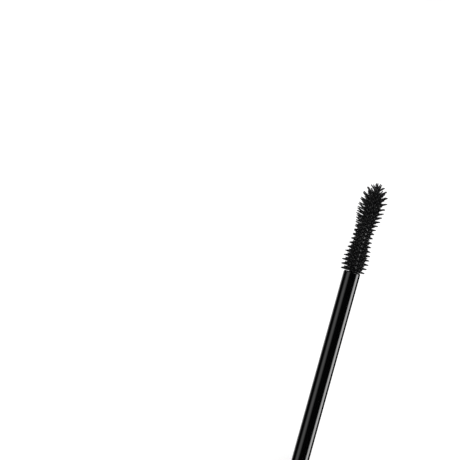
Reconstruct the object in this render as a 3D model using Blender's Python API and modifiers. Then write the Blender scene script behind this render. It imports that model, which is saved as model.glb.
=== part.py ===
"""A mascara, opened and lying on its side: an applicator (cap, stem and moulded brush) and its tube.

Everything is turned about one axis, the world X axis. The origin is the centre of the cap's end face, +X runs
along the stem towards the brush and on into the tube, and +Z is up. Units are metres.
"""

from math import cos, pi, radians, sin, sqrt

import bmesh
import bpy
from mathutils import Matrix, Vector

MM = 0.001

# Shared section: a regular octagon lying on one flat, with a fit gap between neighbouring pieces
FLAT_RADIUS = 8.5 * MM  # half the width across flats
LONG_EDGE_ROUND = 1.5 * MM
RIM_ROUND = 0.45 * MM
GAP = 0.3 * MM
TURN_STEPS = 32

# Applicator, as distances from the cap's end face
CAP_LENGTH = 52.0 * MM
COLLAR_LENGTH = 3.7 * MM
CAP_BORE = 7.6 * MM
CAP_WALL_START = 1.2 * MM
CAP_WALL_END = 2.7 * MM
DISC_RADIUS = 6.5 * MM
DISC_THICKNESS = 0.9 * MM
WEIGHT_LENGTH = 9.0 * MM
WEIGHT_HOLE = 1.5 * MM

STEM_RADIUS = 2.35 * MM
STEM_EXPOSED = 56.5 * MM
STEM_BACK = 20.0 * MM
STEM_FLANGE_RADIUS = 3.9 * MM
STEM_FLANGE_LENGTH = 1.4 * MM
STEM_EDGE = 0.25 * MM
SOCKET_DEPTH = 8.0 * MM
SOCKET_GAP = 0.2 * MM

# Brush: an hourglass of tapered bristles on a slim core
BRUSH_LENGTH = 25.0 * MM
CORE_RADIUS = 0.97 * MM
CORE_TIP_RADIUS = 0.75 * MM
RING_PITCH = 1.22 * MM
FIRST_RING = 0.9 * MM
BRISTLES_PER_RING = 6
BRISTLE_ROOT_RADIUS = 0.17 * MM
BRISTLE_TIP_RADIUS = 0.08 * MM
BRISTLE_START = 0.7 * MM
TIP_LEAN = radians(48)
HEEL_RADIUS = 3.0 * MM
HEEL_BULGE_RADIUS = 3.4 * MM
HEEL_BULGE_AT = 2.8 * MM
WAIST_RADIUS = 2.55 * MM
WAIST_AT = 10.5 * MM
HEAD_RADIUS = 3.55 * MM
HEAD_AT = 19.0 * MM
HEAD_ROUND_LENGTH = 6.6 * MM

# Inner cap and closure: two lugs on the neck pass between two lugs in the cap, then a quarter turn locks them
INNER_CAP_RADIUS = 7.3 * MM
INNER_CAP_BORE = 6.6 * MM
INNER_CAP_BACK = 24.0 * MM
INNER_CAP_RECESS = 0.6 * MM
WEB_LENGTH = 3.0 * MM
HUB_RADIUS = 4.4 * MM
LUG_HALF_WIDTH = radians(40)
LUG_LENGTH = 1.8 * MM
LUG_ROOT = 0.3 * MM
STOP_WIDTH = radians(4)
STOP_CLEARANCE = radians(3.5)
CAP_LUG_INNER = 5.8 * MM
NECK_LUG_OUTER = 6.3 * MM
SEAL_THICKNESS = 1.0 * MM
SEAL_RADIUS = 6.3 * MM
SEAL_HOLE = 3.4 * MM

# Tube, as distances from the face of its shoulder collar, negative towards the mouth
TUBE_LENGTH = 88.0 * MM
NECK_LENGTH = 13.0 * MM
NECK_RADIUS = 5.5 * MM
NECK_BORE = 4.6 * MM
NECK_LUG_FROM_RIM = 1.5 * MM
SHOULDER_LENGTH = 3.5 * MM
SHOULDER_LIP = 0.8 * MM
VIAL_RADIUS = 7.2 * MM
VIAL_BORE = 6.2 * MM
VIAL_FLOOR = 83.0 * MM
VIAL_BASE = 84.2 * MM
SLEEVE_BORE = 7.5 * MM
PLUG_LENGTH = 2.3 * MM
PLUG_RECESS_RADIUS = 5.5 * MM
PLUG_RECESS = 1.1 * MM
BASE_DISC_THICKNESS = 0.9 * MM
FILL_TOP = 10.0 * MM
FILL_CHANNEL = 4.0 * MM
WIPER_FLANGE_LENGTH = 0.7 * MM
WIPER_FLANGE_RADIUS = 5.2 * MM
WIPER_RADIUS = 4.3 * MM
WIPER_BORE = 3.75 * MM
WIPER_CONE_START = -3.8 * MM
WIPER_CONE_END = 0.4 * MM
WIPER_LENGTH_END = 1.2 * MM
OPEN_CLEARANCE = 54.5 * MM  # between the brush tip and the mouth of the tube, when it lies open

# Places that follow from the sizes above
STEM_END = CAP_LENGTH + STEM_EXPOSED
BRUSH_TIP = STEM_END + BRUSH_LENGTH
NECK_RIM = -NECK_LENGTH
WIPER_TOP = NECK_RIM - GAP - WIPER_FLANGE_LENGTH
SHOULDER_OPEN = BRUSH_TIP + OPEN_CLEARANCE - WIPER_TOP
SHOULDER_CLOSED = CAP_LENGTH + GAP
SEAL_FRONT = SHOULDER_CLOSED + WIPER_TOP - GAP
SEAL_BACK = SEAL_FRONT - SEAL_THICKNESS
WEB_FRONT = SEAL_BACK - GAP
WEB_BACK = WEB_FRONT - WEB_LENGTH
NECK_LUG_START = NECK_RIM + NECK_LUG_FROM_RIM
NECK_LUG_END = NECK_LUG_START + LUG_LENGTH
CAP_LUG_START = SHOULDER_CLOSED + NECK_LUG_END + GAP
CAP_LUG_END = CAP_LUG_START + LUG_LENGTH
SLEEVE_START = SHOULDER_LENGTH + GAP


def clear_scene():
    for old in list(bpy.data.objects):
        bpy.data.objects.remove(old, do_unlink=True)


def new_collection(name):
    collection = bpy.data.collections.new(name)
    bpy.context.scene.collection.children.link(collection)
    return collection


def new_empty(name, x):
    empty = bpy.data.objects.new(name, None)
    empty.location = (x, 0, 0)
    PARTS.objects.link(empty)
    return empty


def surface(name, colour, roughness, metallic=0.0):
    material = bpy.data.materials.new(name)
    material.use_nodes = True
    shader = material.node_tree.nodes["Principled BSDF"]
    shader.inputs["Base Color"].default_value = (*colour, 1.0)
    shader.inputs["Roughness"].default_value = roughness
    shader.inputs["Metallic"].default_value = metallic
    return material


def add_object(name, mesh, collection):
    obj = bpy.data.objects.new(name, mesh)
    obj.rotation_euler = (0, radians(90), 0)  # local Z, the turning axis, becomes world X
    collection.objects.link(obj)
    return obj


def add_part(name, mesh, material, group):
    obj = add_object(name, mesh, PARTS)
    obj.parent = group
    mesh.materials.append(material)
    mesh.shade_smooth()
    mesh.set_sharp_from_angle(angle=radians(35))
    return obj


def turn(obj):
    screw = obj.modifiers.new("turn", "SCREW")
    screw.steps = TURN_STEPS
    screw.render_steps = TURN_STEPS
    screw.use_merge_vertices = True
    screw.merge_threshold = 0.00001


def profile_mesh(name, profile, closed):
    """An outline of (radius, distance) points, down its outer side first, in the local XZ plane."""
    mesh = bpy.data.meshes.new(name)
    edges = [(i, i + 1) for i in range(len(profile) - 1)]
    if closed:
        edges.append((len(profile) - 1, 0))
    mesh.from_pydata([(radius, 0, distance) for radius, distance in profile], edges, [])
    return mesh


def turned_part(name, profile, material, group, closed=True):
    obj = add_part(name, profile_mesh(name, profile, closed), material, group)
    turn(obj)
    return obj


def turned_tool(name, radius, start, end, group):
    """A plain cylinder on the axis, used to cut or join."""
    profile = [(0, end), (radius, end), (radius, start), (0, start)]
    tool = add_object(name, profile_mesh(name, profile, closed=False), TOOLS)
    tool.parent = group
    turn(tool)
    return hide_tool(tool)


def hide_tool(tool):
    tool.hide_render = True
    tool.display_type = "WIRE"
    return tool


def combine(obj, tool, operation):
    boolean = obj.modifiers.new(tool.name, "BOOLEAN")
    boolean.operation = operation
    boolean.solver = "EXACT"
    boolean.object = tool


def ring_profile(inner, outer, start, end):
    return [(outer, end), (outer, start), (inner, start), (inner, end)]


def octagon_part(name, start, end, material, group):
    """A solid octagonal bar from start to end along the axis, lying on a flat, with rounded edges."""
    mesh = bpy.data.meshes.new(name)
    bar = bmesh.new()
    corner_radius = FLAT_RADIUS / cos(pi / 8)
    place = Matrix.Translation((0, 0, (start + end) / 2)) @ Matrix.Rotation(pi / 8, 4, "Z")
    bmesh.ops.create_cone(
        bar,
        cap_ends=True,
        segments=8,
        radius1=corner_radius,
        radius2=corner_radius,
        depth=end - start,
        matrix=place,
    )
    long_edges = [e for e in bar.edges if abs(e.verts[0].co.z - e.verts[1].co.z) > GAP]
    bmesh.ops.bevel(
        bar,
        geom=long_edges,
        offset=LONG_EDGE_ROUND,
        offset_type="OFFSET",
        segments=3,
        profile=0.5,
        affect="EDGES",
    )
    bar.to_mesh(mesh)
    bar.free()
    obj = add_part(name, mesh, material, group)
    rims = obj.modifiers.new("rims", "BEVEL")
    rims.width = RIM_ROUND
    rims.segments = 2
    rims.limit_method = "ANGLE"
    rims.angle_limit = radians(60)
    return obj


def bored(obj, radius, start, end, group):
    tool = turned_tool(f"{obj.name}_bore_{len(obj.modifiers)}", radius, start, end, group)
    combine(obj, tool, "DIFFERENCE")


def arc_points(radius, start, end, count):
    step = (end - start) / (count - 1)
    return [(radius * cos(start + i * step), radius * sin(start + i * step)) for i in range(count)]


def sector_tool(name, radii, middle, half_width, ends, group):
    """A sector of a ring between two radii and two ends; middle is its angle from +Y towards +Z."""
    inner, outer = radii
    start, end = ends
    local_middle = middle + pi / 2
    first = local_middle - half_width
    last = local_middle + half_width
    count = max(3, int(2 * half_width / radians(10)) + 1)
    outline = arc_points(outer, first, last, count) + arc_points(inner, last, first, count)
    curve = bpy.data.curves.new(name, "CURVE")
    curve.dimensions = "2D"
    curve.fill_mode = "BOTH"
    curve.extrude = (end - start) / 2
    spline = curve.splines.new("POLY")
    spline.points.add(len(outline) - 1)
    for point, (x, y) in zip(spline.points, outline):
        point.co = (x, y, 0, 1)
    spline.use_cyclic_u = True
    sketch = bpy.data.objects.new(name + "_sketch", curve)
    TOOLS.objects.link(sketch)
    evaluated = sketch.evaluated_get(bpy.context.evaluated_depsgraph_get())
    mesh = bpy.data.meshes.new_from_object(evaluated)
    bpy.data.objects.remove(sketch, do_unlink=True)
    welded = bmesh.new()
    welded.from_mesh(mesh)
    bmesh.ops.remove_doubles(welded, verts=welded.verts, dist=0.000001)
    bmesh.ops.translate(welded, verts=welded.verts, vec=(0, 0, (start + end) / 2))
    bmesh.ops.recalc_face_normals(welded, faces=welded.faces)
    welded.to_mesh(mesh)
    welded.free()
    tool = add_object(name, mesh, TOOLS)
    tool.parent = group
    return hide_tool(tool)


# Applicator


def make_cap_shell(group):
    end = CAP_LENGTH - COLLAR_LENGTH - GAP
    shell = octagon_part("cap_shell", 0, end, GLOSS_BLACK, group)
    bored(shell, CAP_BORE, CAP_WALL_END, end + GAP, group)
    bored(shell, DISC_RADIUS + GAP, -GAP, CAP_WALL_START, group)


def make_cap_collar(group):
    start = CAP_LENGTH - COLLAR_LENGTH
    collar = octagon_part("cap_collar", start, CAP_LENGTH, DARK_METAL, group)
    bored(collar, CAP_BORE, start - GAP, CAP_LENGTH + GAP, group)


def make_cap_end_disc(group):
    profile = [(0, DISC_THICKNESS), (DISC_RADIUS, DISC_THICKNESS), (DISC_RADIUS, 0), (0, 0)]
    turned_part("cap_end_disc", profile, DARK_METAL, group, closed=False)


def make_cap_weight(group):
    start = CAP_WALL_END + GAP
    profile = ring_profile(WEIGHT_HOLE, CAP_BORE - GAP, start, start + WEIGHT_LENGTH)
    turned_part("cap_weight", profile, BARE_STEEL, group)


def make_inner_cap(group):
    front = CAP_LENGTH - INNER_CAP_RECESS
    hub_back = STEM_BACK + STEM_FLANGE_LENGTH + GAP
    hole = STEM_RADIUS + GAP
    profile = [
        (INNER_CAP_RADIUS, front),
        (INNER_CAP_RADIUS, INNER_CAP_BACK),
        (INNER_CAP_BORE, INNER_CAP_BACK),
        (INNER_CAP_BORE, WEB_BACK),
        (HUB_RADIUS, WEB_BACK),
        (HUB_RADIUS, hub_back),
        (hole, hub_back),
        (hole, WEB_FRONT),
        (INNER_CAP_BORE, WEB_FRONT),
        (INNER_CAP_BORE, front),
    ]
    inner_cap = turned_part("inner_cap", profile, SATIN_BLACK, group)
    radii = (CAP_LUG_INNER, INNER_CAP_BORE + LUG_ROOT)
    lug_ends = (CAP_LUG_START, CAP_LUG_END)
    stop_ends = (SHOULDER_CLOSED + NECK_LUG_START, CAP_LUG_END)
    for number, middle in enumerate((0, pi)):
        lug = sector_tool(f"cap_lug_{number}", radii, middle, LUG_HALF_WIDTH, lug_ends, group)
        combine(inner_cap, lug, "UNION")
        stop_middle = middle - LUG_HALF_WIDTH - STOP_CLEARANCE - STOP_WIDTH / 2
        stop = sector_tool(f"turn_stop_{number}", radii, stop_middle, STOP_WIDTH / 2, stop_ends, group)
        combine(inner_cap, stop, "UNION")


def make_stem(group):
    socket = CORE_RADIUS + SOCKET_GAP
    flange_front = STEM_BACK + STEM_FLANGE_LENGTH
    profile = [
        (0, STEM_END - SOCKET_DEPTH),
        (socket, STEM_END - SOCKET_DEPTH),
        (socket, STEM_END),
        (STEM_RADIUS - STEM_EDGE, STEM_END),
        (STEM_RADIUS, STEM_END - STEM_EDGE),
        (STEM_RADIUS, flange_front),
        (STEM_FLANGE_RADIUS, flange_front),
        (STEM_FLANGE_RADIUS, STEM_BACK),
        (0, STEM_BACK),
    ]
    turned_part("stem", profile, GLOSS_BLACK, group, closed=False)


def brush_envelope(along):
    """Radius of the bristle tips at a distance from the brush's heel: bulge, waist, bulge, rounded head."""
    if along > HEAD_AT:
        rest = min((along - HEAD_AT) / HEAD_ROUND_LENGTH, 1.0)
        return HEAD_RADIUS * sqrt(1 - rest * rest)
    if along > WAIST_AT:
        low, high, start, end = WAIST_RADIUS, HEAD_RADIUS, WAIST_AT, HEAD_AT
    elif along > HEEL_BULGE_AT:
        low, high, start, end = HEEL_BULGE_RADIUS, WAIST_RADIUS, HEEL_BULGE_AT, WAIST_AT
    else:
        low, high, start, end = HEEL_RADIUS, HEEL_BULGE_RADIUS, 0, HEEL_BULGE_AT
    share = (along - start) / (end - start)
    return low + (high - low) * (1 - cos(pi * share)) / 2


def add_bristle(bristles, root, direction, length):
    """A tapered four-sided pin from root along direction."""
    upright_to_direction = direction.to_track_quat("Z", "Y").to_matrix().to_4x4()
    place = Matrix.Translation(root + direction * length / 2) @ upright_to_direction
    bmesh.ops.create_cone(
        bristles,
        cap_ends=True,
        segments=4,
        radius1=BRISTLE_ROOT_RADIUS,
        radius2=BRISTLE_TIP_RADIUS,
        depth=length,
        matrix=place,
    )


def make_bristles(group):
    bristles = bmesh.new()
    ring_count = int((BRUSH_LENGTH - FIRST_RING - RING_PITCH) / RING_PITCH) + 1
    for ring in range(ring_count):
        along = FIRST_RING + ring * RING_PITCH
        is_last = ring == ring_count - 1
        lean = TIP_LEAN if is_last else 0
        for number in range(BRISTLES_PER_RING):
            angle = 2 * pi * (number + (ring % 2) / 2) / BRISTLES_PER_RING
            direction = Vector((cos(angle) * cos(lean), sin(angle) * cos(lean), sin(lean)))
            root = Vector((cos(angle), sin(angle), 0)) * BRISTLE_START
            root.z = STEM_END + along
            reach = brush_envelope(along) - BRISTLE_START
            if is_last:
                reach = (BRUSH_LENGTH - along - BRISTLE_TIP_RADIUS) / sin(lean)
            add_bristle(bristles, root, direction, reach)
    mesh = bpy.data.meshes.new("bristles")
    bristles.to_mesh(mesh)
    bristles.free()
    tool = add_object("bristles", mesh, TOOLS)
    tool.parent = group
    return hide_tool(tool)


def make_brush(group):
    shank_start = STEM_END - SOCKET_DEPTH + GAP
    core_end = BRUSH_TIP - RING_PITCH
    dome = CORE_TIP_RADIUS * sin(pi / 4)
    profile = [
        (0, core_end),
        (dome, core_end - CORE_TIP_RADIUS + dome),
        (CORE_TIP_RADIUS, core_end - CORE_TIP_RADIUS),
        (CORE_RADIUS, STEM_END + HEAD_AT),
        (CORE_RADIUS, shank_start),
        (0, shank_start),
    ]
    brush = turned_part("brush", profile, SATIN_BLACK, group, closed=False)
    combine(brush, make_bristles(group), "UNION")


def make_seal_ring(group):
    profile = ring_profile(SEAL_HOLE, SEAL_RADIUS, 0, SEAL_THICKNESS)
    turned_part("seal_ring", profile, SEAL_FOAM, group)


# Tube


def make_tube_sleeve(group):
    sleeve = octagon_part("tube_sleeve", SLEEVE_START, TUBE_LENGTH, SATIN_BLACK, group)
    bored(sleeve, SLEEVE_BORE, SLEEVE_START - GAP, TUBE_LENGTH + GAP, group)


def make_shoulder_collar(group):
    collar = octagon_part("shoulder_collar", 0, SHOULDER_LENGTH, DARK_METAL, group)
    bored(collar, NECK_RADIUS + GAP, -GAP, SHOULDER_LENGTH, group)
    bored(collar, SLEEVE_BORE, SHOULDER_LIP, SHOULDER_LENGTH + GAP, group)


def make_vial(group):
    shoulder = SHOULDER_LIP + GAP
    wall = VIAL_RADIUS - VIAL_BORE
    profile = [
        (0, VIAL_BASE),
        (VIAL_RADIUS, VIAL_BASE),
        (VIAL_RADIUS, shoulder),
        (NECK_RADIUS, shoulder),
        (NECK_RADIUS, NECK_RIM),
        (NECK_BORE, NECK_RIM),
        (NECK_BORE, shoulder + wall),
        (VIAL_BORE, shoulder + wall),
        (VIAL_BORE, VIAL_FLOOR),
        (0, VIAL_FLOOR),
    ]
    vial = turned_part("vial", profile, SATIN_BLACK, group, closed=False)
    radii = (NECK_RADIUS - LUG_ROOT, NECK_LUG_OUTER)
    ends = (NECK_LUG_START, NECK_LUG_END)
    for number, middle in enumerate((pi / 2, -pi / 2)):
        lug = sector_tool(f"neck_lug_{number}", radii, middle, LUG_HALF_WIDTH, ends, group)
        combine(vial, lug, "UNION")


def make_wiper(group):
    lip_hole = STEM_RADIUS + GAP
    wall = WIPER_RADIUS - WIPER_BORE
    profile = [
        (lip_hole + wall, WIPER_LENGTH_END),
        (lip_hole + wall, WIPER_CONE_END),
        (WIPER_RADIUS, WIPER_CONE_START),
        (WIPER_RADIUS, NECK_RIM - GAP),
        (WIPER_FLANGE_RADIUS, NECK_RIM - GAP),
        (WIPER_FLANGE_RADIUS, WIPER_TOP),
        (WIPER_BORE, WIPER_TOP),
        (WIPER_BORE, WIPER_CONE_START),
        (lip_hole, WIPER_CONE_END),
        (lip_hole, WIPER_LENGTH_END),
    ]
    turned_part("wiper", profile, WIPER_RUBBER, group)


def make_mascara_fill(group):
    profile = ring_profile(FILL_CHANNEL, VIAL_BORE - GAP, FILL_TOP, VIAL_FLOOR - GAP)
    turned_part("mascara_fill", profile, WET_BLACK, group)


def make_base_plug(group):
    start = VIAL_BASE + GAP
    end = start + PLUG_LENGTH
    floor = end - PLUG_RECESS
    profile = [
        (0, floor),
        (PLUG_RECESS_RADIUS, floor),
        (PLUG_RECESS_RADIUS, end),
        (SLEEVE_BORE - GAP, end),
        (SLEEVE_BORE - GAP, start),
        (0, start),
    ]
    turned_part("base_plug", profile, SATIN_BLACK, group, closed=False)


def make_base_disc(group):
    start = TUBE_LENGTH - BASE_DISC_THICKNESS
    profile = [(0, TUBE_LENGTH), (SLEEVE_BORE - GAP, TUBE_LENGTH), (SLEEVE_BORE - GAP, start), (0, start)]
    turned_part("base_disc", profile, DARK_METAL, group, closed=False)


clear_scene()
PARTS = new_collection("mascara")
TOOLS = new_collection("cutters_and_joined_shapes")
GLOSS_BLACK = surface("gloss_black", (0.006, 0.006, 0.007), 0.16)
SATIN_BLACK = surface("satin_black", (0.010, 0.010, 0.011), 0.38)
DARK_METAL = surface("dark_metal", (0.09, 0.09, 0.10), 0.22, 1.0)
BARE_STEEL = surface("bare_steel", (0.45, 0.45, 0.46), 0.35, 1.0)
SEAL_FOAM = surface("seal_foam", (0.72, 0.71, 0.68), 0.70)
WIPER_RUBBER = surface("wiper_rubber", (0.030, 0.030, 0.032), 0.55)
WET_BLACK = surface("wet_black", (0.004, 0.004, 0.004), 0.12)

APPLICATOR = new_empty("applicator_axis", 0)
make_cap_shell(APPLICATOR)
make_cap_collar(APPLICATOR)
make_cap_end_disc(APPLICATOR)
make_cap_weight(APPLICATOR)
make_inner_cap(APPLICATOR)
make_stem(APPLICATOR)
make_brush(APPLICATOR)
make_seal_ring(new_empty("seal_axis", SEAL_BACK))

TUBE = new_empty("tube_axis", SHOULDER_OPEN)
make_tube_sleeve(TUBE)
make_shoulder_collar(TUBE)
make_vial(TUBE)
make_wiper(TUBE)
make_mascara_fill(TUBE)
make_base_plug(TUBE)
make_base_disc(TUBE)
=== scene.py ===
"""The looks of the opened mascara: fine meshes, materials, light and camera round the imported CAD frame.

The stem lies along +X with the brush at its far end, and the picture is taken straight down.
All sizes are metres; MM turns millimetres into them.
"""

import random
from collections import namedtuple
from math import acos, atan2, cos, pi, radians, sin, sqrt, tan

import bmesh
import bpy
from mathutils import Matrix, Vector


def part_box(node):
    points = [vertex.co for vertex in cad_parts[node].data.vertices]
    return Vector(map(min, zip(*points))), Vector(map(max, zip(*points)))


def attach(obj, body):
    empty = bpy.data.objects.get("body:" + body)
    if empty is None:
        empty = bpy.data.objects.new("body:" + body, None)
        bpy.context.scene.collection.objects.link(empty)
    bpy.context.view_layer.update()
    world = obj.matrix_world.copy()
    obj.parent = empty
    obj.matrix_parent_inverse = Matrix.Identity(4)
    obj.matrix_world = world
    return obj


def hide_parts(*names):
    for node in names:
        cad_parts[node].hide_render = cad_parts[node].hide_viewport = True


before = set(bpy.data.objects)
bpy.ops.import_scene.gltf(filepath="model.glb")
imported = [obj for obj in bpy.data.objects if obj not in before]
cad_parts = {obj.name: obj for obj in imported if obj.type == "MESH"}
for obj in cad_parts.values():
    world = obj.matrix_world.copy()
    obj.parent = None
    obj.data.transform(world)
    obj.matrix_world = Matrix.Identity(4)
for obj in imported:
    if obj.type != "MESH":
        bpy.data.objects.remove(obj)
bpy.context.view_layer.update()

MM = 0.001
FULL_TURN = 2 * pi

# Shared octagonal section of cap and tube
FLAT_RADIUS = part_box("cap_shell")[1].z
CORNER_SETBACK = 1.5 * MM  # from the sharp corner to the end of the flat
CORNER_RADIUS = CORNER_SETBACK / tan(pi / 8)
FLAT_END = atan2(FLAT_RADIUS * tan(pi / 8) - CORNER_SETBACK, FLAT_RADIUS)

# Mesh fineness
ROUND_SIDES = 96
FLAT_STEPS = 6
CORNER_STEPS = 8
ARC_STEPS = 5
SHARP_EDGE = radians(32)
WELD = 0.0005 * MM

# Fits and shared bores
GAP = 0.3 * MM
CAP_BORE = 7.6 * MM
SLEEVE_BORE = 7.5 * MM
LUG_THICKNESS = 1.8 * MM
LUG_HALF_WIDTH = radians(40)
LUG_ROOT = 0.3 * MM  # how deep a lug sits in its wall
LUG_FILLET = 0.15 * MM

# Stem, with the socket for the brush's shank in its front end
STEM_RADIUS = 2.35 * MM
SOCKET_DEPTH = 8.0 * MM
SOCKET_CLEARANCE = 0.06 * MM

# Brush: its core, and rings of bristles whose rows lean forward and back by turns
BRUSH_LENGTH = 25.0 * MM
BRUSH_DRIFT = 0.72 * MM  # how far the tip end is bent to one side
DRIFT_POWER = 1.4
CORE_RADIUS = 0.97 * MM
CORE_LENGTH = 23.7 * MM
CORE_TAPER = 0.12
SHANK_LENGTH = 7.7 * MM
RING_PITCH = 1.22 * MM
FIRST_RING = 0.34 * MM  # rings are placed by their distance from the heel
HEEL_RING = 0.36 * MM
LAST_RING = 22.9 * MM
QUARTER_ROWS = (  # degrees from the brush's side, phase in pitches, lean
    (4, 0.0, 1),
    (15, 0.0, -1),
    (27, 0.0, 1),
    (43, 0.5, -1),
    (53, 0.0, 1),
    (62, 0.5, -1),
    (72, 0.0, 1),
    (81, 0.5, -1),
    (90, 0.0, 0),
)
SIDE_ROWS = radians(30)  # either side of the brush's side, where the tips make the outline

# Outline of the bristle tips: (distance from the heel, radius) of its bulges and waist, then a blunt head
ENVELOPE = ((0.0, 3.20 * MM), (2.6 * MM, 3.56 * MM), (10.6 * MM, 2.70 * MM), (18.8 * MM, 3.66 * MM))
HEAD_LENGTH = 6.35 * MM
HEAD_BLUNTNESS = 2.2
HEAD_LEAN = radians(42)
HEAD_LEAN_POWER = 1.3
CROWN = ((7, 42, 10), (4, 66, 35), (1, 88, 0))  # count, lean and first angle in degrees
STEEPEST_LEAN = 88  # degrees

# One bristle
BRISTLE_SIDES = 7
BRISTLE_STEPS = 5
BRISTLE_ROOT = 0.31 * MM
BRISTLE_TIP = 0.145 * MM
BRISTLE_TAPER = 1.2
BRISTLE_START = 0.7  # share of the core's radius at which a bristle starts

# How the feet and tips leave their ring's level; places are shares of the brush's length
ROOT_SPREAD = 0.58 * MM
RIGHT_CLOSING = 0.5
HEEL_SWEEP = 0.9 * MM
HEEL_SWEEP_END = 0.45
HEAD_SWEEP = 0.9 * MM
HEAD_SWEEP_RISE = (0.40, 0.35)  # where it starts, and over how much it rises
UPPER_RISE = (0.35, 0.3)
PARTED_MIDDLE = 0.62
PARTED_REACH = 0.38

# Random differences between bristles
SEED = 11
ANGLE_JITTER = 2.0  # degrees round the core
TIP_JITTER = 0.035 * MM
LENGTH_JITTER = 0.015
ROOT_JITTER = 0.08
SIDE_BOW_JITTER = 0.10 * MM
BACK_BOW = 0.03 * MM
UPPER_BACK_BOW = 0.11 * MM
BACK_BOW_JITTER = 0.06 * MM
CROWN_JITTER = 3  # degrees of lean
CROWN_SHORTEST = 0.95

# Camera, straight above, framed on the brush's heel
STEM_TILT = radians(15.46)
PICTURE_WIDTH = 125.8 * MM
HEEL_RIGHT_OF_CENTRE = 33.44 * MM
HEEL_BELOW_CENTRE = 11.40 * MM
LENS_MM = 250.0
SENSOR_MM = 36.0

# Light table: the floor glows evenly under a plain sky, so it is just white with only soft shadows
SKY_STRENGTH = 1.06
FLOOR_ALBEDO = 0.42
FLOOR_WHITE = 1.13
FLOOR_SIZE = 80.0
FLOOR_CLEARANCE = 0.02 * MM

# Cards that only reflections see, bent round the X axis: beside the stem, the cap and the tube
CARD_DISTANCE = 0.5
CARD_STEPS = 24
CARD_END_FADE = 0.04
STEM_STRETCH = (-0.06, 0.26)
CAP_SIDE_STRETCH = (-1.2, -0.06)
TUBE_SIDE_STRETCH = (0.30, 1.5)


def span(node):
    """Lowest and highest x of a CAD node."""
    low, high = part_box(node)
    return low.x, high.x


HEEL = span("stem")[1]


# Shapes: outlines turned round the X axis, on a round or an octagonal section

Corner = namedtuple("Corner", "x radius fillet octagonal", defaults=(0, False))


def octagon_distance(angle, flat_radius):
    """Distance from the axis to a rounded octagon, at an angle from +Y."""
    off_flat = abs((angle + pi / 8) % (pi / 4) - pi / 8)
    if off_flat <= FLAT_END:
        return flat_radius / cos(off_flat)
    corner = (flat_radius - CORNER_RADIUS) / cos(pi / 8)
    off_corner = pi / 8 - off_flat
    return corner * cos(off_corner) + sqrt(CORNER_RADIUS**2 - (corner * sin(off_corner)) ** 2)


def section_angles(octagonal):
    """Angles round the section, closer together at the octagon's corners."""
    if not octagonal:
        return [FULL_TURN * i / ROUND_SIDES for i in range(ROUND_SIDES)]
    angles = []
    corner_width = pi / 4 - 2 * FLAT_END
    for side in range(8):
        middle = side * pi / 4
        angles += [middle + FLAT_END * (2 * i / FLAT_STEPS - 1) for i in range(FLAT_STEPS + 1)]
        angles += [middle + FLAT_END + corner_width * i / CORNER_STEPS for i in range(1, CORNER_STEPS)]
    return angles


def fillet_arc(before, corner, after, radius):
    """Points of a round corner in the (x, radius) plane."""
    corner_point = Vector(corner)
    to_before = (Vector(before) - corner_point).normalized()
    to_after = (Vector(after) - corner_point).normalized()
    half_angle = acos(max(-1, min(1, to_before.dot(to_after)))) / 2
    reach = radius / tan(half_angle)
    centre = corner_point + (to_before + to_after).normalized() * radius / sin(half_angle)
    first = corner_point + to_before * reach - centre
    last = corner_point + to_after * reach - centre
    points = []
    for i in range(ARC_STEPS + 1):
        mixed = first.lerp(last, i / ARC_STEPS)
        points.append(centre + mixed.normalized() * radius)
    return points


def rounded_outline(outline, closed):
    """The outline as (x, radius, octagonal) points, with an arc in place of each filleted corner."""
    points = []
    count = len(outline)
    for i, corner in enumerate(outline):
        at_end = not closed and i in (0, count - 1)
        if corner.fillet == 0 or at_end:
            points.append((corner.x, corner.radius, corner.octagonal))
            continue
        before = outline[i - 1][:2]
        after = outline[(i + 1) % count][:2]
        arc = fillet_arc(before, corner[:2], after, corner.fillet)
        points += [(p.x, p.y, corner.octagonal) for p in arc]
    return points


def turn_into(mesh, outline, closed=True, octagonal=False, sector=None):
    """Adds a turned solid to a bmesh.

    An open outline starts and ends on the axis. A sector, as (start, end) angles, gets end faces.
    """
    if sector:
        start, end = sector
        steps = max(2, int(ROUND_SIDES * (end - start) / FULL_TURN))
        angles = [start + (end - start) * i / steps for i in range(steps + 1)]
    else:
        angles = section_angles(octagonal)
    points = rounded_outline(outline, closed)
    columns = []
    for angle in angles:
        column = []
        for x, radius, on_octagon in points:
            distance = octagon_distance(angle, radius) if on_octagon else radius
            column.append(mesh.verts.new((x, distance * cos(angle), distance * sin(angle))))
        columns.append(column)
    made = [vert for column in columns for vert in column]
    last_point = len(points) if closed else len(points) - 1
    last_angle = len(angles) - 1 if sector else len(angles)
    for i in range(last_angle):
        here, there = columns[i], columns[(i + 1) % len(angles)]
        for j in range(last_point):
            k = (j + 1) % len(points)
            mesh.faces.new((here[j], there[j], there[k], here[k]))
    if sector:
        mesh.faces.new(columns[0])
        mesh.faces.new(list(reversed(columns[-1])))
    bmesh.ops.remove_doubles(mesh, verts=made, dist=WELD)


def finish_piece(name, mesh, body, node, material):
    """Turns a bmesh into a shown piece that rides on a body in place of a CAD node."""
    bmesh.ops.recalc_face_normals(mesh, faces=mesh.faces)
    data = bpy.data.meshes.new(name)
    mesh.to_mesh(data)
    mesh.free()
    data.shade_smooth()
    data.set_sharp_from_angle(angle=SHARP_EDGE)
    piece = bpy.data.objects.new(name, data)
    bpy.context.scene.collection.objects.link(piece)
    data.materials.append(material)
    weighted = piece.modifiers.new("flat faces stay flat", "WEIGHTED_NORMAL")
    weighted.keep_sharp = True
    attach(piece, body)
    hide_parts(node)
    return piece


def throw_no_shade(piece):
    """The slim pieces stand clear of the floor and leave it evenly white."""
    piece.visible_shadow = False
    piece.visible_diffuse = False


# Materials


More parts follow.
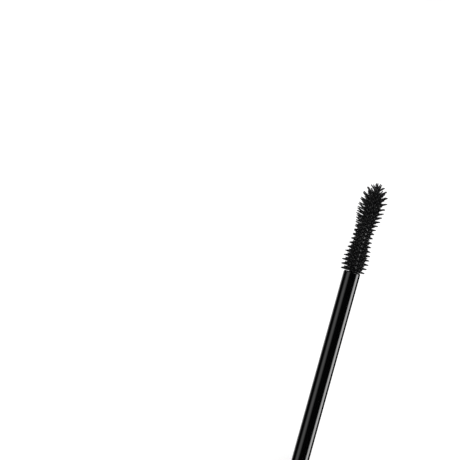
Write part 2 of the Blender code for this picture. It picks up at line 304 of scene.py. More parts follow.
def new_material(name):
    """A node material with its shader and the piece's own coordinates, in millimetres."""
    material = bpy.data.materials.new(name)
    material.use_nodes = True
    tree = material.node_tree
    shader = tree.nodes["Principled BSDF"]
    coordinates = tree.nodes.new("ShaderNodeTexCoord")
    scale = tree.nodes.new("ShaderNodeVectorMath")
    scale.operation = "SCALE"
    scale.inputs["Scale"].default_value = 1 / MM
    tree.links.new(coordinates.outputs["Object"], scale.inputs[0])
    return material, tree, shader, scale.outputs[0]


def stretched(tree, coordinates, scale):
    """The coordinates scaled by their own factor along each axis."""
    mapping = tree.nodes.new("ShaderNodeMapping")
    mapping.inputs["Scale"].default_value = scale
    tree.links.new(coordinates, mapping.inputs["Vector"])
    return mapping.outputs["Vector"]


def noise(tree, coordinates, per_mm, detail):
    """Soft noise with that many lumps to a millimetre."""
    texture = tree.nodes.new("ShaderNodeTexNoise")
    texture.inputs["Scale"].default_value = per_mm
    texture.inputs["Detail"].default_value = detail
    tree.links.new(coordinates, texture.inputs["Vector"])
    return texture.outputs["Fac"]


def to_range(tree, value, low, high):
    """A texture value spread from its middle band onto low to high."""
    spread = tree.nodes.new("ShaderNodeMapRange")
    spread.inputs["From Min"].default_value = 0.3
    spread.inputs["From Max"].default_value = 0.7
    spread.inputs["To Min"].default_value = low
    spread.inputs["To Max"].default_value = high
    tree.links.new(value, spread.inputs["Value"])
    return spread.outputs["Result"]


def mixed_colour(tree, value, dark, light):
    """A colour between dark and light, by a texture value."""
    mix = tree.nodes.new("ShaderNodeMix")
    mix.data_type = "RGBA"
    mix.inputs["A"].default_value = (*dark, 1)
    mix.inputs["B"].default_value = (*light, 1)
    tree.links.new(value, mix.inputs["Factor"])
    return mix.outputs["Result"]


def bump(tree, shader, height, depth, strength=1.0):
    """Raises the surface by a texture value; depth is in metres."""
    node = tree.nodes.new("ShaderNodeBump")
    node.inputs["Distance"].default_value = depth
    node.inputs["Strength"].default_value = strength
    tree.links.new(height, node.inputs["Height"])
    tree.links.new(node.outputs["Normal"], shader.inputs["Normal"])


def gloss_plastic():
    """Polished injection moulding: near black, with a trace of flow waviness and fine handling marks."""
    material, tree, shader, place = new_material("gloss_black")
    clouds = noise(tree, place, per_mm=0.12, detail=3)
    colour = mixed_colour(tree, clouds, dark=(0.0008, 0.0008, 0.0009), light=(0.0014, 0.0014, 0.0015))
    tree.links.new(colour, shader.inputs["Base Color"])
    lengthwise = stretched(tree, place, (0.15, 2.2, 2.2))
    marks = noise(tree, lengthwise, per_mm=2.0, detail=6)
    tree.links.new(to_range(tree, marks, low=0.085, high=0.135), shader.inputs["Roughness"])
    bump(tree, shader, noise(tree, place, per_mm=0.9, detail=1), depth=0.0006 * MM)
    shader.inputs["IOR"].default_value = 1.50
    return material


def satin_plastic(name, dark, light, roughness, grain_per_mm, grain_depth):
    """Fine-grained moulded plastic."""
    material, tree, shader, place = new_material(name)
    clouds = noise(tree, place, per_mm=0.25, detail=4)
    tree.links.new(mixed_colour(tree, clouds, dark, light), shader.inputs["Base Color"])
    patches = noise(tree, place, per_mm=1.3, detail=4)
    patchy = to_range(tree, patches, low=roughness * 0.88, high=roughness * 1.12)
    tree.links.new(patchy, shader.inputs["Roughness"])
    bump(tree, shader, noise(tree, place, grain_per_mm, detail=2), grain_depth)
    shader.inputs["IOR"].default_value = 1.49
    return material


def axis_distance(tree, coordinates):
    """A point's distance from the X axis, and its separate coordinates."""
    split = tree.nodes.new("ShaderNodeSeparateXYZ")
    tree.links.new(coordinates, split.inputs[0])
    flat = tree.nodes.new("ShaderNodeCombineXYZ")
    tree.links.new(split.outputs["Y"], flat.inputs["X"])
    tree.links.new(split.outputs["Z"], flat.inputs["Y"])
    radius = tree.nodes.new("ShaderNodeVectorMath")
    radius.operation = "LENGTH"
    tree.links.new(flat.outputs[0], radius.inputs[0])
    return radius.outputs["Value"], split


def bristle_plastic():
    """Flexible moulded bristles: satin black, each slightly its own shade, duller towards the core."""
    material, tree, shader, place = new_material("bristle_black")
    own_shade = tree.nodes.new("ShaderNodeNewGeometry").outputs["Random Per Island"]
    colour = mixed_colour(tree, own_shade, dark=(0.0030, 0.0030, 0.0032), light=(0.0060, 0.0060, 0.0064))
    tree.links.new(colour, shader.inputs["Base Color"])
    patches = noise(tree, place, per_mm=1.8, detail=3)
    distance, _ = axis_distance(tree, place)
    dulling = tree.nodes.new("ShaderNodeMapRange")
    dulling.inputs["From Min"].default_value = 1.0
    dulling.inputs["From Max"].default_value = 2.2
    dulling.inputs["To Min"].default_value = 0.12
    dulling.inputs["To Max"].default_value = 0.0
    tree.links.new(distance, dulling.inputs["Value"])
    roughness = tree.nodes.new("ShaderNodeMath")
    tree.links.new(to_range(tree, patches, low=0.20, high=0.34), roughness.inputs[0])
    tree.links.new(dulling.outputs["Result"], roughness.inputs[1])
    tree.links.new(roughness.outputs[0], shader.inputs["Roughness"])
    bump(tree, shader, noise(tree, place, per_mm=9.0, detail=2), depth=0.004 * MM, strength=0.5)
    shader.inputs["IOR"].default_value = 1.50
    return material


def turned_metal(name, dark, light, roughness, rings_per_mm):
    """Metal with the fine rings that turning leaves, round the X axis."""
    material, tree, shader, place = new_material(name)
    radius, split = axis_distance(tree, place)
    lines = tree.nodes.new("ShaderNodeCombineXYZ")
    tree.links.new(split.outputs["X"], lines.inputs["X"])
    tree.links.new(radius, lines.inputs["Y"])
    ring_place = stretched(tree, lines.outputs[0], (rings_per_mm, rings_per_mm, 0))
    rings = noise(tree, ring_place, per_mm=1.0, detail=4)
    tree.links.new(mixed_colour(tree, rings, dark, light), shader.inputs["Base Color"])
    ringed = to_range(tree, rings, low=roughness * 0.8, high=roughness * 1.25)
    tree.links.new(ringed, shader.inputs["Roughness"])
    bump(tree, shader, rings, depth=0.0015 * MM)
    shader.inputs["Metallic"].default_value = 1.0
    return material


def foam():
    """Closed-cell washer foam."""
    material, tree, shader, place = new_material("seal_foam")
    cells = tree.nodes.new("ShaderNodeTexVoronoi")
    cells.inputs["Scale"].default_value = 4.5
    tree.links.new(place, cells.inputs["Vector"])
    walls = cells.outputs["Distance"]
    colour = mixed_colour(tree, walls, dark=(0.62, 0.61, 0.58), light=(0.78, 0.77, 0.74))
    tree.links.new(colour, shader.inputs["Base Color"])
    shader.inputs["Roughness"].default_value = 0.75
    bump(tree, shader, walls, depth=0.04 * MM, strength=0.6)
    return material


def wet_paste():
    """Mascara paste: wet, thick and black."""
    material, tree, shader, place = new_material("wet_paste")
    lumps = noise(tree, place, per_mm=0.8, detail=5)
    colour = mixed_colour(tree, lumps, dark=(0.0025, 0.0025, 0.0025), light=(0.0060, 0.0058, 0.0056))
    tree.links.new(colour, shader.inputs["Base Color"])
    tree.links.new(to_range(tree, lumps, low=0.10, high=0.24), shader.inputs["Roughness"])
    bump(tree, shader, lumps, depth=0.15 * MM)
    return material


GLOSS = gloss_plastic()
SATIN = satin_plastic(
    "satin_black",
    dark=(0.0075, 0.0075, 0.0080),
    light=(0.0105, 0.0105, 0.0110),
    roughness=0.34,
    grain_per_mm=6.0,
    grain_depth=0.003 * MM,
)
INNER = satin_plastic(
    "inner_black",
    dark=(0.010, 0.010, 0.0105),
    light=(0.015, 0.015, 0.0155),
    roughness=0.42,
    grain_per_mm=3.0,
    grain_depth=0.006 * MM,
)
RUBBER = satin_plastic(
    "wiper_rubber",
    dark=(0.022, 0.022, 0.024),
    light=(0.034, 0.034, 0.036),
    roughness=0.56,
    grain_per_mm=5.0,
    grain_depth=0.008 * MM,
)
BRISTLES = bristle_plastic()
TRIM = turned_metal(
    "dark_metal",
    dark=(0.060, 0.060, 0.066),
    light=(0.100, 0.100, 0.108),
    roughness=0.20,
    rings_per_mm=9.0,
)
STEEL = turned_metal(
    "bare_steel",
    dark=(0.36, 0.36, 0.37),
    light=(0.52, 0.52, 0.53),
    roughness=0.34,
    rings_per_mm=5.0,
)
FOAM = foam()
PASTE = wet_paste()


# Applicator


def make_stem():
    back, front = span("stem")
    flange_front = back + 1.4 * MM
    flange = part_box("stem")[1].z
    socket = CORE_RADIUS + SOCKET_CLEARANCE
    socket_end = front - SOCKET_DEPTH
    outline = [
        Corner(socket_end, 0),
        Corner(socket_end, socket),
        Corner(front, socket, 0.10 * MM),
        Corner(front, STEM_RADIUS, 0.42 * MM),
        Corner(flange_front, STEM_RADIUS, 0.2 * MM),
        Corner(flange_front, flange, 0.2 * MM),
        Corner(back, flange, 0.2 * MM),
        Corner(back, 0),
    ]
    mesh = bmesh.new()
    turn_into(mesh, outline, closed=False)
    stem = finish_piece("stem_rod", mesh, "applicator", "stem", GLOSS)
    throw_no_shade(stem)


def smooth_step(low, high, share):
    """From low to high, level at both ends."""
    return low + (high - low) * (1 - cos(pi * share)) / 2


def ramp(along, start, rise):
    """0 up to a place on the brush, then rising to 1; start and rise are shares of its length."""
    return min(1, max(0, along / BRUSH_LENGTH - start) / rise)


def envelope(along):
    """Radius of the bristle tips: a bulge at the heel, a waist, the largest bulge and a blunt head."""
    head_at, head_radius = ENVELOPE[-1]
    if along >= head_at:
        share = min(1, (along - head_at) / HEAD_LENGTH)
        return head_radius * (1 - share**HEAD_BLUNTNESS) ** (1 / HEAD_BLUNTNESS)
    for (start, low), (end, high) in zip(ENVELOPE, ENVELOPE[1:]):
        if along <= end:
            return smooth_step(low, high, max(0, along - start) / (end - start))


def drift(along):
    """The brush leans a little to one side over its length."""
    return -BRUSH_DRIFT * (max(0, along) / BRUSH_LENGTH) ** DRIFT_POWER


def join_rings(mesh, rings):
    """Skins a row of rings that have the same number of points."""
    sides = len(rings[0])
    for low, high in zip(rings, rings[1:]):
        for i in range(sides):
            j = (i + 1) % sides
            mesh.faces.new((low[i], low[j], high[j], high[i]))


def add_bristle(mesh, root, tip, bend, root_radius):
    """A tapered pin from root to tip with a round end, bowed by the vector bend at its middle."""
    side = (tip - root).normalized().orthogonal().normalized()
    rings = []
    for step in range(BRISTLE_STEPS + 1):
        share = step / BRISTLE_STEPS
        centre = root.lerp(tip, share) + bend * 4 * share * (1 - share)
        radius = root_radius + (BRISTLE_TIP - root_radius) * share**BRISTLE_TAPER
        heading = (tip - root + bend * 4 * (1 - 2 * share)).normalized()
        across = heading.cross(side).normalized()
        ring = []
        for i in range(BRISTLE_SIDES):
            angle = FULL_TURN * i / BRISTLE_SIDES
            ring.append(mesh.verts.new(centre + (side * cos(angle) + across * sin(angle)) * radius))
        rings.append(ring)
    heading = (tip - root - bend * 4).normalized()
    narrowing = 0.35
    rise = 0.7 * BRISTLE_TIP
    shoulder = [mesh.verts.new(v.co.lerp(tip, narrowing) + heading * rise) for v in rings[-1]]
    rings.append(shoulder)
    join_rings(mesh, rings)
    point = mesh.verts.new(tip + heading * BRISTLE_TIP)
    foot = mesh.verts.new(root)
    for i in range(BRISTLE_SIDES):
        j = (i + 1) % BRISTLE_SIDES
        mesh.faces.new((shoulder[i], shoulder[j], point))
        mesh.faces.new((rings[0][j], rings[0][i], foot))


def add_core(mesh):
    """The moulded core, from inside the stem's socket to its domed end."""
    steps = 30
    sides = 24
    stations = [(-SHANK_LENGTH, CORE_RADIUS), (0, CORE_RADIUS)]
    for i in range(1, steps + 1):
        along = CORE_LENGTH * i / steps
        from_end = CORE_LENGTH - along
        radius = CORE_RADIUS * (1 - CORE_TAPER * along / CORE_LENGTH)
        if from_end < radius:
            radius = sqrt(max(0, radius**2 - (radius - from_end) ** 2))
        stations.append((along, radius))
    rings = []
    for along, radius in stations:
        ring = []
        for i in range(sides):
            angle = FULL_TURN * i / sides
            y, z = radius * cos(angle), radius * sin(angle)
            ring.append(mesh.verts.new((HEEL + along, drift(along) + y, z)))
        rings.append(ring)
    join_rings(mesh, rings)
    mesh.faces.new(list(reversed(rings[0])))
    bmesh.ops.remove_doubles(mesh, verts=rings[-1], dist=WELD * 2)


def reach_envelope(along, lean):
    """Length of a line from the core's axis to the envelope; it leans towards the brush's tip."""
    step = 0.02 * MM
    distance = CORE_RADIUS
    while distance < BRUSH_LENGTH and distance * cos(lean) < envelope(along + distance * sin(lean)):
        distance += step
    return distance


def bristle_rows():
    """(angle, phase in pitches, lean) of each row, mirrored from one quarter onto all four."""
    rows = []
    for side in (0, pi):
        for off_side, phase, lean in QUARTER_ROWS:
            rows.append((side + radians(off_side), phase, lean))
            if off_side < 90:
                rows.append((side - radians(off_side), phase, -lean))
    return rows


def row_stations(phase):
    """Distances of a row's bristles from the heel; rows out of step get one more at the heel."""
    stations = []
    if phase > 0:
        stations.append(HEEL_RING)
    along = FIRST_RING + phase * RING_PITCH
    while along < LAST_RING:
        stations.append(along)
        along += RING_PITCH
    return stations


def left_share(angle):
    """1 on the brush's +Y side, 0 on its -Y side."""
    return (1 + cos(angle)) / 2


def tip_shift(angle, along, lean):
    """How far a tip is moved from its ring's level: on the +Y side, rows part over the upper half."""
    if abs(cos(angle)) < cos(SIDE_ROWS):
        return 0
    parted = max(0, 1 - abs(along / BRUSH_LENGTH - PARTED_MIDDLE) / PARTED_REACH)
    return -lean * left_share(angle) * parted * RING_PITCH / 4


def root_spread(angle, along):
    """How far a row's feet are parted from the ring's level: less on the -Y side, over the upper half."""
    right_share = 1 - left_share(angle)
    return ROOT_SPREAD * (1 - RIGHT_CLOSING * right_share * ramp(along, *UPPER_RISE))


def foot_shift(angle, along):
    """How far a foot is moved from its ring's level: back at the head, forward on +Y at the heel."""
    forward = left_share(angle) * max(0, 1 - along / BRUSH_LENGTH / HEEL_SWEEP_END) * HEEL_SWEEP
    back = smooth_step(0, HEAD_SWEEP, ramp(along, *HEAD_SWEEP_RISE))
    return forward - back


def random_bow(dice, outward, onward, along):
    """A bristle's bow at its middle: a little to any side, and backwards, more so on the upper bulge."""
    sideways = dice.gauss(0, SIDE_BOW_JITTER)
    backwards = dice.gauss(-BACK_BOW - UPPER_BACK_BOW * ramp(along, *UPPER_RISE), BACK_BOW_JITTER)
    return outward.cross(onward) * sideways + onward * backwards


def make_brush():
    dice = random.Random(SEED)
    mesh = bmesh.new()
    add_core(mesh)
    onward = Vector((1, 0, 0))
    head_at = ENVELOPE[-1][0]
    for angle, phase, lean in bristle_rows():
        for along in row_stations(phase):
            turned = angle + radians(dice.gauss(0, ANGLE_JITTER))
            outward = Vector((0, cos(turned), sin(turned)))
            past_head = max(0, along - head_at) / (LAST_RING - head_at)
            spread = lean * root_spread(turned, along) * (1 - past_head)
            foot_along = max(HEEL_RING, along - spread + foot_shift(turned, along))
            tip_along = along + tip_shift(turned, along, lean) + dice.gauss(0, TIP_JITTER)
            tip_rise = (tip_along - foot_along) * (1 - past_head)
            tilt = atan2(tip_rise, envelope(along)) + HEAD_LEAN * past_head**HEAD_LEAN_POWER
            heading = outward * cos(tilt) + onward * sin(tilt)
            foot = Vector((HEEL + foot_along, drift(foot_along), 0))
            distance = reach_envelope(foot_along, tilt) * (1 + dice.gauss(0, LENGTH_JITTER))
            bow = random_bow(dice, outward, onward, along)
            root_radius = BRISTLE_ROOT * dice.uniform(1 - ROOT_JITTER, 1 + ROOT_JITTER)
            root = foot + heading * CORE_RADIUS * BRISTLE_START
            add_bristle(mesh, root, foot + heading * distance, bow, root_radius)
    add_crown(mesh, dice)
    brush = finish_piece("brush_bristles", mesh, "applicator", "brush", BRISTLES)
    throw_no_shade(brush)


def add_crown(mesh, dice):
    """Bristles fanned round the core's domed end."""
    along = CORE_LENGTH - CORE_RADIUS
    foot = Vector((HEEL + along, drift(along), 0))
    for count, lean_degrees, start in CROWN:
        for number in range(count):
            angle = radians(start) + FULL_TURN * number / count
            lean = radians(min(STEEPEST_LEAN, lean_degrees + dice.gauss(0, CROWN_JITTER)))
            heading = Vector((sin(lean), cos(angle) * cos(lean), sin(angle) * cos(lean)))
            distance = reach_envelope(along, lean) * dice.uniform(CROWN_SHORTEST, 1)
            root = foot + heading * CORE_RADIUS / 2
            add_bristle(mesh, root, foot + heading * distance, Vector((0, 0, 0)), BRISTLE_ROOT)


def make_cap():
    start, end = span("cap_shell")
    recess = 6.8 * MM
    plate_seat = start + 1.2 * MM
    end_wall = start + 2.7 * MM
    outline = [
        Corner(plate_seat, 0),
        Corner(plate_seat, recess),
        Corner(start, recess, 0.12 * MM),
        Corner(start, FLAT_RADIUS, 0.55 * MM, octagonal=True),
        Corner(end, FLAT_RADIUS, 0.22 * MM, octagonal=True),
        Corner(end, CAP_BORE, 0.08 * MM),
        Corner(end_wall, CAP_BORE),
        Corner(end_wall, 0),
    ]
    mesh = bmesh.new()
    turn_into(mesh, outline, closed=False, octagonal=True)
    finish_piece("cap_outer", mesh, "applicator", "cap_shell", GLOSS)


def octagon_ring(start, end, bore, start_fillet, end_fillet):
    """Outline of an octagonal ring with a shallow groove round its middle."""
    middle = (start + end) / 2
    groove = 0.16 * MM
    return [
        Corner(start, bore, 0.08 * MM),
        Corner(start, FLAT_RADIUS, start_fillet, octagonal=True),
        Corner(middle - groove, FLAT_RADIUS, 0.05 * MM, octagonal=True),
        Corner(middle, FLAT_RADIUS - groove, octagonal=True),
        Corner(middle + groove, FLAT_RADIUS, 0.05 * MM, octagonal=True),
        Corner(end, FLAT_RADIUS, end_fillet, octagonal=True),
        Corner(end, bore, 0.08 * MM),
    ]


def make_cap_collar():
    start, end = span("cap_collar")
    mesh = bmesh.new()
    turn_into(mesh, octagon_ring(start, end, CAP_BORE, 0.2 * MM, 0.35 * MM), octagonal=True)
    finish_piece("cap_band", mesh, "applicator", "cap_collar", TRIM)


def make_disc(name, node, body, outward):
    """A let-in disc whose outer face has a rounded edge and a fine groove near it."""
    start, end = span(node)
    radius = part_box(node)[1].z
    face, back = (start, end) if outward < 0 else (end, start)
    groove = radius - 1.1 * MM
    half_width = 0.12 * MM
    depth = -outward * half_width
    outline = [
        Corner(face, 0),
        Corner(face, groove - half_width),
        Corner(face + depth, groove),
        Corner(face, groove + half_width),
        Corner(face, radius, 0.2 * MM),
        Corner(back, radius, 0.1 * MM),
        Corner(back, 0),
    ]
    mesh = bmesh.new()
    turn_into(mesh, outline, closed=False)
    finish_piece(name, mesh, body, node, TRIM)


def make_inner_cap():
    start, end = span("inner_cap")
    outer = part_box("inner_cap")[1].z
    bore = 6.6 * MM
    web_front = span("seal_ring")[0] - GAP
    web_back = web_front - 3.0 * MM
    skirt_back = 24.0 * MM
    hub = 4.4 * MM
    hole = STEM_RADIUS + 0.05 * MM
    outline = [
        Corner(end, outer, 0.15 * MM),
        Corner(skirt_back, outer, 0.1 * MM),
        Corner(skirt_back, bore, 0.1 * MM),
        Corner(web_back, bore, 0.3 * MM),
        Corner(web_back, hub, 0.3 * MM),
        Corner(start, hub, 0.2 * MM),
        Corner(start, hole, 0.1 * MM),
        Corner(web_front, hole, 0.1 * MM),
        Corner(web_front, bore, 0.3 * MM),
        Corner(end, bore, 0.2 * MM),
    ]
    mesh = bmesh.new()
    turn_into(mesh, outline)
    lug_inner = 5.8 * MM
    root = bore + LUG_ROOT
    closed_shoulder = span("cap_collar")[1] + GAP
    lug_start = closed_shoulder - 9.4 * MM
    lug_end = lug_start + LUG_THICKNESS
    stop_start = closed_shoulder - 11.5 * MM
    stop_angle = radians(45.5)
    stop_half_width = radians(2)
    for middle in (0, pi):
        sector = (middle - LUG_HALF_WIDTH, middle + LUG_HALF_WIDTH)
        add_lug(mesh, (lug_inner, root), (lug_start, lug_end), sector, inner_fillet=LUG_FILLET)
        stop = middle - stop_angle
        sector = (stop - stop_half_width, stop + stop_half_width)
        add_lug(mesh, (lug_inner, root), (stop_start, lug_end), sector, inner_fillet=LUG_FILLET)
    finish_piece("cap_insert", mesh, "applicator", "inner_cap", INNER)


def add_lug(mesh, radii, x_range, sector, inner_fillet=0, outer_fillet=0):
    """A sector of a ring; the side that stands free has softened edges."""
    inner, outer = radii
    start, end = x_range
    outline = [
        Corner(end, outer, outer_fillet),
        Corner(start, outer, outer_fillet),
        Corner(start, inner, inner_fillet),
        Corner(end, inner, inner_fillet),
    ]
    turn_into(mesh, outline, sector=sector)


def make_seal_ring():
    start, end = span("seal_ring")
    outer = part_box("seal_ring")[1].z
    inner = 3.4 * MM
    soft = 0.25 * MM
    outline = [
        Corner(end, outer, soft),
        Corner(start, outer, soft),
        Corner(start, inner, soft),
        Corner(end, inner, soft),
    ]
    mesh = bmesh.new()
    turn_into(mesh, outline)
    finish_piece("seal_washer", mesh, "seal", "seal_ring", FOAM)


# Tube


def make_sleeve():
    start, end = span("tube_sleeve")
    outline = [
        Corner(start, SLEEVE_BORE, 0.08 * MM),
        Corner(start, FLAT_RADIUS, 0.22 * MM, octagonal=True),
        Corner(end, FLAT_RADIUS, 0.55 * MM, octagonal=True),
        Corner(end, SLEEVE_BORE, 0.12 * MM),
    ]
    mesh = bmesh.new()
    turn_into(mesh, outline, octagonal=True)
    finish_piece("tube_outer", mesh, "tube", "tube_sleeve", SATIN)


def make_shoulder():
    start, end = span("shoulder_collar")
    lip = 0.8 * MM
    outline = octagon_ring(start, end, SLEEVE_BORE, 0.35 * MM, 0.2 * MM)[1:]
    neck_hole = 5.8 * MM
    outline += [
        Corner(start + lip, SLEEVE_BORE),
        Corner(start + lip, neck_hole, 0.08 * MM),
        Corner(start, neck_hole, 0.15 * MM),
    ]
    mesh = bmesh.new()
    turn_into(mesh, outline, octagonal=True)
    finish_piece("tube_band", mesh, "tube", "shoulder_collar", TRIM)


def make_vial():
    rim, base = span("vial")
    shoulder = span("shoulder_collar")[0] + 1.1 * MM
    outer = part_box("vial")[1].y
    neck = 5.5 * MM
    neck_bore = 4.6 * MM
    bore = 6.2 * MM
    bore_start = shoulder + 1.0 * MM
    bore_end = base - 1.2 * MM
    outline = [
        Corner(base, 0),
        Corner(base, outer, 0.8 * MM),
        Corner(shoulder, outer, 0.3 * MM),
        Corner(shoulder, neck, 0.25 * MM),
        Corner(rim, neck, 0.25 * MM),
        Corner(rim, neck_bore, 0.2 * MM),
        Corner(bore_start, neck_bore, 0.3 * MM),
        Corner(bore_start, bore, 0.3 * MM),
        Corner(bore_end, bore, 0.8 * MM),
        Corner(bore_end, 0),
    ]
    mesh = bmesh.new()
    turn_into(mesh, outline, closed=False)
    lug_outer = 6.3 * MM
    lug_start = rim + 1.5 * MM
    lug_end = lug_start + LUG_THICKNESS
    for middle in (pi / 2, -pi / 2):
        sector = (middle - LUG_HALF_WIDTH, middle + LUG_HALF_WIDTH)
        add_lug(mesh, (neck - LUG_ROOT, lug_outer), (lug_start, lug_end), sector, outer_fillet=LUG_FILLET)
    finish_piece("vial_with_neck", mesh, "tube", "vial", INNER)


def make_wiper():
    top = span("wiper")[0]
    shoulder = span("shoulder_collar")[0]
    rim = span("vial")[0]
    hole = STEM_RADIUS + GAP
    lip_outer = hole + 0.45 * MM
    lip_start = shoulder + 0.4 * MM
    lip_end = shoulder + 1.2 * MM
    cone_start = shoulder - 3.8 * MM
    sleeve_outer = 4.3 * MM
    sleeve_inner = 3.75 * MM
    flange = 5.2 * MM
    outline = [
        Corner(lip_end, lip_outer, 0.15 * MM),
        Corner(lip_start, lip_outer, 0.4 * MM),
        Corner(cone_start, sleeve_outer, 0.4 * MM),
        Corner(rim - GAP, sleeve_outer, 0.1 * MM),
        Corner(rim - GAP, flange, 0.15 * MM),
        Corner(top, flange, 0.25 * MM),
        Corner(top, sleeve_inner, 0.3 * MM),
        Corner(cone_start, sleeve_inner, 0.4 * MM),
        Corner(lip_start, hole, 0.2 * MM),
        Corner(lip_end, hole, 0.1 * MM),
    ]
    mesh = bmesh.new()
    turn_into(mesh, outline)
    finish_piece("neck_wiper", mesh, "tube", "wiper", RUBBER)


def make_paste():
    """The paste, with the channel that the brush leaves as it is pulled out, wider at its mouth."""
    start, end = span("mascara_fill")
    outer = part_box("mascara_fill")[1].z
    channel = 4.5 * MM
    mouth = 4.9 * MM
    mouth_depth = 2.5 * MM
    outline = [
        Corner(end, outer, 0.2 * MM),
        Corner(start, outer, 0.3 * MM),
        Corner(start, mouth, 0.3 * MM),
        Corner(start + mouth_depth, channel, 1.0 * MM),
        Corner(end, channel, 0.2 * MM),
    ]
    mesh = bmesh.new()
    turn_into(mesh, outline)
    finish_piece("paste_inside", mesh, "tube", "mascara_fill", PASTE)


def finish_hidden_nodes():
    """CAD nodes that no view reaches keep their shape and get their finish."""
    for node, material in (("cap_weight", STEEL), ("base_plug", INNER)):
        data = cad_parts[node].data
        data.materials.clear()
        data.materials.append(material)


make_stem()
make_brush()
make_cap()
make_cap_collar()
make_disc("cap_end_plate", "cap_end_disc", "applicator", outward=-1)
make_inner_cap()
make_seal_ring()
make_sleeve()
make_shoulder()
make_vial()
make_wiper()
make_paste()
make_disc("tube_end_plate", "base_disc", "tube", outward=1)
finish_hidden_nodes()


# Stage: a plain white floor, an even white sky and soft cards for reflections


def make_floor():
    bpy.ops.mesh.primitive_plane_add(size=FLOOR_SIZE, location=(0, 0, -FLAT_RADIUS - FLOOR_CLEARANCE))
    floor = bpy.context.object
    floor.name = "floor"
    material = bpy.data.materials.new("floor_white")
    material.use_nodes = True
    shader = material.node_tree.nodes["Principled BSDF"]
    shader.inputs["Base Color"].default_value = (*[FLOOR_ALBEDO] * 3, 1)
    shader.inputs["Roughness"].default_value = 1.0
    shader.inputs["Specular IOR Level"].default_value = 0.0
    shader.inputs["Emission Color"].default_value = (1, 1, 1, 1)
    shader.inputs["Emission Strength"].default_value = FLOOR_WHITE - FLOOR_ALBEDO * SKY_STRENGTH
    floor.data.materials.append(material)
    floor.visible_glossy = False


def make_sky():
    world = bpy.data.worlds.new("white_studio")
    world.use_nodes = True
    background = world.node_tree.nodes["Background"]
    background.inputs["Color"].default_value = (1, 1, 1, 1)
    background.inputs["Strength"].default_value = SKY_STRENGTH
    bpy.context.scene.world = world
    world.cycles_visibility.glossy = False


def edge_fade(tree, coordinate, soft_share):
    """0 at both ends of a UV coordinate, rising to 1 within a share of its length."""
    from_edge = tree.nodes.new("ShaderNodeMath")
    from_edge.operation = "PINGPONG"
    from_edge.inputs[1].default_value = 0.5
    tree.links.new(coordinate, from_edge.inputs[0])
    fade = tree.nodes.new("ShaderNodeMapRange")
    fade.interpolation_type = "SMOOTHSTEP"
    fade.inputs["From Max"].default_value = soft_share
    tree.links.new(from_edge.outputs[0], fade.inputs["Value"])
    return fade.outputs["Result"]


def multiplied(tree, first, second):
    node = tree.nodes.new("ShaderNodeMath")
    node.operation = "MULTIPLY"
    tree.links.new(first, node.inputs[0])
    tree.links.new(second, node.inputs[1])
    return node.outputs[0]


def card_material(name, strength, soft_along, soft_across):
    """Even light that fades towards the card's edges."""
    material = bpy.data.materials.new(name)
    material.use_nodes = True
    tree = material.node_tree
    tree.nodes.clear()
    place = tree.nodes.new("ShaderNodeTexCoord")
    split = tree.nodes.new("ShaderNodeSeparateXYZ")
    tree.links.new(place.outputs["UV"], split.inputs[0])
    along = edge_fade(tree, split.outputs["X"], soft_along)
    across = edge_fade(tree, split.outputs["Y"], soft_across)
    full = tree.nodes.new("ShaderNodeValue")
    full.outputs[0].default_value = strength
    level = multiplied(tree, multiplied(tree, along, across), full.outputs[0])
    emission = tree.nodes.new("ShaderNodeEmission")
    tree.links.new(level, emission.inputs["Strength"])
    output = tree.nodes.new("ShaderNodeOutputMaterial")
    tree.links.new(emission.outputs[0], output.inputs["Surface"])
    material.cycles.emission_sampling = "NONE"
    return material


def place_card(name, mesh, material):
    """Shows a card to reflections only."""
    data = bpy.data.meshes.new(name)
    mesh.to_mesh(data)
    mesh.free()
    card = bpy.data.objects.new(name, data)
    bpy.context.scene.collection.objects.link(card)
    data.materials.append(material)
    card.visible_camera = False
    card.visible_diffuse = False
    card.visible_shadow = False


def make_card(name, x_range, angle_range, strength, soft_across):
    """A card bent round the X axis; angles run from straight up, positive to the picture's right (-Y)."""
    x_start, x_end = x_range
    first, last = (radians(a) for a in angle_range)
    mesh = bmesh.new()
    uv_layer = mesh.loops.layers.uv.new("UVMap")
    columns = []
    for i in range(CARD_STEPS + 1):
        angle = first + (last - first) * i / CARD_STEPS
        y, z = -sin(angle) * CARD_DISTANCE, cos(angle) * CARD_DISTANCE
        columns.append((mesh.verts.new((x_start, y, z)), mesh.verts.new((x_end, y, z))))
    for i in range(CARD_STEPS):
        (a, b), (d, c) = columns[i], columns[i + 1]
        face = mesh.faces.new((a, b, c, d))
        shares = ((0, i), (1, i), (1, i + 1), (0, i + 1))
        for loop, (u, v) in zip(face.loops, shares):
            loop[uv_layer].uv = (u, v / CARD_STEPS)
    soft_along = CARD_END_FADE / (x_end - x_start)
    place_card(name, mesh, card_material(name + "_light", strength, soft_along, soft_across))


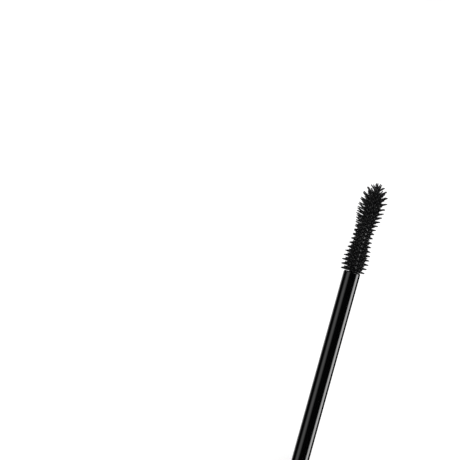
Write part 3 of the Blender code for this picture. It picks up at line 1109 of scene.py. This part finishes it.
def make_end_card(name, x, strength):
    """An upright card across the X axis, beyond one end of the object."""
    half_width = 0.9
    low = -0.45
    high = 0.65
    mesh = bmesh.new()
    uv_layer = mesh.loops.layers.uv.new("UVMap")
    corners = ((-half_width, low), (half_width, low), (half_width, high), (-half_width, high))
    face = mesh.faces.new([mesh.verts.new((x, y, z)) for y, z in corners])
    for loop, (u, v) in zip(face.loops, ((0, 0), (1, 0), (1, 1), (0, 1))):
        loop[uv_layer].uv = (u, v)
    to_middle = 0.5
    place_card(name, mesh, card_material(name + "_light", strength, to_middle, to_middle))


def make_lights():
    make_card("bright_card", STEM_STRETCH, (63.5, 109.5), strength=7.4, soft_across=0.30)
    make_card("dim_card", STEM_STRETCH, (-82, -20), strength=1.6, soft_across=0.45)
    make_card("rim_card", STEM_STRETCH, (-178, -118), strength=0.9, soft_across=0.35)
    for place, x_range in (("near_cap", CAP_SIDE_STRETCH), ("near_tube", TUBE_SIDE_STRETCH)):
        make_card(place + "_left", x_range, (-92, -12), strength=2.0, soft_across=0.45)
        make_card(place + "_right", x_range, (12, 92), strength=3.2, soft_across=0.45)
        make_card(place + "_low_left", x_range, (-172, -93), strength=0.8, soft_across=0.30)
        make_card(place + "_low_right", x_range, (93, 172), strength=0.8, soft_across=0.30)
    make_end_card("beyond_cap", x=-1.3, strength=2.0)
    make_end_card("beyond_tube", x=1.6, strength=2.8)


def make_camera():
    up = Vector((cos(STEM_TILT), sin(STEM_TILT), 0))
    right = Vector((sin(STEM_TILT), -cos(STEM_TILT), 0))
    heel = Vector((HEEL, 0, 0))
    centre = heel + up * HEEL_BELOW_CENTRE - right * HEEL_RIGHT_OF_CENTRE
    data = bpy.data.cameras.new("camera")
    data.lens = LENS_MM
    data.sensor_width = SENSOR_MM
    height = PICTURE_WIDTH * LENS_MM / SENSOR_MM
    data.clip_start = 0.01
    data.clip_end = 100
    camera = bpy.data.objects.new("camera", data)
    camera.location = centre + Vector((0, 0, height))
    camera.rotation_euler = (0, 0, STEM_TILT - pi / 2)
    bpy.context.scene.collection.objects.link(camera)
    bpy.context.scene.camera = camera


make_floor()
make_sky()
make_lights()
make_camera()
bpy.context.scene.view_settings.view_transform = "Standard"
